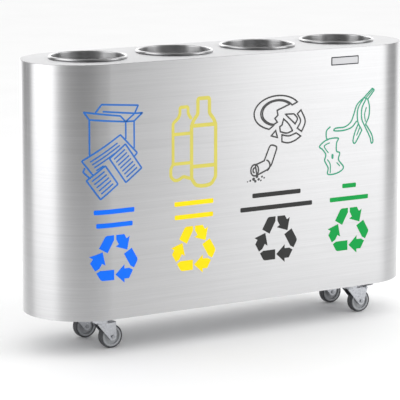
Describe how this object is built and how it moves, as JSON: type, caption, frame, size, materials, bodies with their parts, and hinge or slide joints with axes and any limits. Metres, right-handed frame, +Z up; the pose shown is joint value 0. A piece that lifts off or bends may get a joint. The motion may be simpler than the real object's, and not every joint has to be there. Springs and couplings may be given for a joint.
{
  "type": "recycling bin station",
  "caption": "Obround brushed stainless recycling station on swivel casters, with round rolled-rim pails hung in its flat top and pictograms on its front.",
  "frame": {"origin": "on the floor, under the centre of the cabinet", "axes": "+X along the station's length to the right as seen from the front, +Y from front to rear, +Z up"},
  "size_m": [1.3, 0.3608, 0.87],
  "materials": {
    "brushed_stainless_shell": "brushed",
    "brushed_stainless_top": "brushed",
    "inner_steel": "satin",
    "blank_plate": "satin",
    "pail_stainless": "brushed",
    "rim_wire": "satin",
    "zinc_steel": "satin",
    "bolt_steel": "satin",
    "wheel_plastic": "matte",
    "wheel_rubber": "matte",
    "pedal_plastic": "matte",
    "picture_vinyl_paper": "satin",
    "label_vinyl_paper": "satin",
    "picture_vinyl_bottle": "satin",
    "label_vinyl_bottle": "satin",
    "picture_vinyl_waste": "satin",
    "label_vinyl_waste": "satin",
    "picture_vinyl_food": "satin",
    "label_vinyl_food": "satin"
  },
  "bodies": {
    "cabinet": {"front_shell": "brushed_stainless_shell", "rear_shell": "brushed_stainless_shell", "seam_strap_left": "inner_steel", "seam_strap_right": "inner_steel", "top_plate": "brushed_stainless_top", "base_pan": "inner_steel", "nameplate": "blank_plate", "caster_rail_left": "inner_steel", "caster_rail_right": "inner_steel", "divider_frame_1": "inner_steel", "divider_frame_2": "inner_steel", "divider_frame_3": "inner_steel", "picture_paper": "picture_vinyl_paper", "picture_bottle": "picture_vinyl_bottle", "picture_waste": "picture_vinyl_waste", "picture_food": "picture_vinyl_food", "label_paper": "label_vinyl_paper", "label_bottle": "label_vinyl_bottle", "label_waste": "label_vinyl_waste", "label_food": "label_vinyl_food", "mount_plate_1": "zinc_steel", "mount_plate_2": "zinc_steel", "mount_plate_3": "zinc_steel", "mount_plate_4": "zinc_steel", "kingpins": "bolt_steel", "caster_bolts": "bolt_steel", "caster_nuts": "bolt_steel"},
    "pail_body_1": {"pail_1": "pail_stainless", "rim_wire_1": "rim_wire"},
    "pail_body_2": {"pail_2": "pail_stainless", "rim_wire_2": "rim_wire"},
    "pail_body_3": {"pail_3": "pail_stainless", "rim_wire_3": "rim_wire"},
    "pail_body_4": {"pail_4": "pail_stainless", "rim_wire_4": "rim_wire"},
    "swivel_1": {"fork_1": "zinc_steel", "axle_1": "bolt_steel"},
    "wheel_1": {"wheel_core_1": "wheel_plastic", "tyre_1": "wheel_rubber"},
    "swivel_2": {"fork_2": "zinc_steel", "axle_2": "bolt_steel", "brake_pin_2": "bolt_steel"},
    "wheel_2": {"wheel_core_2": "wheel_plastic", "tyre_2": "wheel_rubber"},
    "brake_2": {"brake_lever_2": "zinc_steel", "pedal_pad_2": "pedal_plastic"},
    "swivel_3": {"fork_3": "zinc_steel", "axle_3": "bolt_steel"},
    "wheel_3": {"wheel_core_3": "wheel_plastic", "tyre_3": "wheel_rubber"},
    "swivel_4": {"fork_4": "zinc_steel", "axle_4": "bolt_steel", "brake_pin_4": "bolt_steel"},
    "wheel_4": {"wheel_core_4": "wheel_plastic", "tyre_4": "wheel_rubber"},
    "brake_4": {"brake_lever_4": "zinc_steel", "pedal_pad_4": "pedal_plastic"}
  },
  "joints": [
    {"name": "pail_lift_1", "type": "slide", "parent": "cabinet", "child": "pail_body_1", "axis": [0, 0, 1], "range_m": [0, 0.76]},
    {"name": "pail_lift_2", "type": "slide", "parent": "cabinet", "child": "pail_body_2", "axis": [0, 0, 1], "range_m": [0, 0.76]},
    {"name": "pail_lift_3", "type": "slide", "parent": "cabinet", "child": "pail_body_3", "axis": [0, 0, 1], "range_m": [0, 0.76]},
    {"name": "pail_lift_4", "type": "slide", "parent": "cabinet", "child": "pail_body_4", "axis": [0, 0, 1], "range_m": [0, 0.76]},
    {"name": "caster_swivel_1", "type": "hinge", "parent": "cabinet", "child": "swivel_1", "pos_m": [-0.455, -0.078, 0.085], "axis": [0, 0, 1], "continuous": true},
    {"name": "wheel_spin_1", "type": "hinge", "parent": "swivel_1", "child": "wheel_1", "pos_m": [-0.423, -0.078, 0.036], "axis": [0, 1, 0], "continuous": true},
    {"name": "caster_swivel_2", "type": "hinge", "parent": "cabinet", "child": "swivel_2", "pos_m": [0.455, -0.078, 0.085], "axis": [0, 0, 1], "continuous": true},
    {"name": "wheel_spin_2", "type": "hinge", "parent": "swivel_2", "child": "wheel_2", "pos_m": [0.487, -0.078, 0.036], "axis": [0, 1, 0], "continuous": true},
    {"name": "brake_pedal_2", "type": "hinge", "parent": "swivel_2", "child": "brake_2", "pos_m": [0.50566, -0.078, 0.0775], "axis": [0, 1, 0], "range_deg": [0, 20]},
    {"name": "caster_swivel_3", "type": "hinge", "parent": "cabinet", "child": "swivel_3", "pos_m": [-0.455, 0.078, 0.085], "axis": [0, 0, 1], "continuous": true},
    {"name": "wheel_spin_3", "type": "hinge", "parent": "swivel_3", "child": "wheel_3", "pos_m": [-0.423, 0.078, 0.036], "axis": [0, 1, 0], "continuous": true},
    {"name": "caster_swivel_4", "type": "hinge", "parent": "cabinet", "child": "swivel_4", "pos_m": [0.455, 0.078, 0.085], "axis": [0, 0, 1], "continuous": true},
    {"name": "wheel_spin_4", "type": "hinge", "parent": "swivel_4", "child": "wheel_4", "pos_m": [0.487, 0.078, 0.036], "axis": [0, 1, 0], "continuous": true},
    {"name": "brake_pedal_4", "type": "hinge", "parent": "swivel_4", "child": "brake_4", "pos_m": [0.50566, 0.078, 0.0775], "axis": [0, 1, 0], "range_deg": [0, 20]}
  ]
}
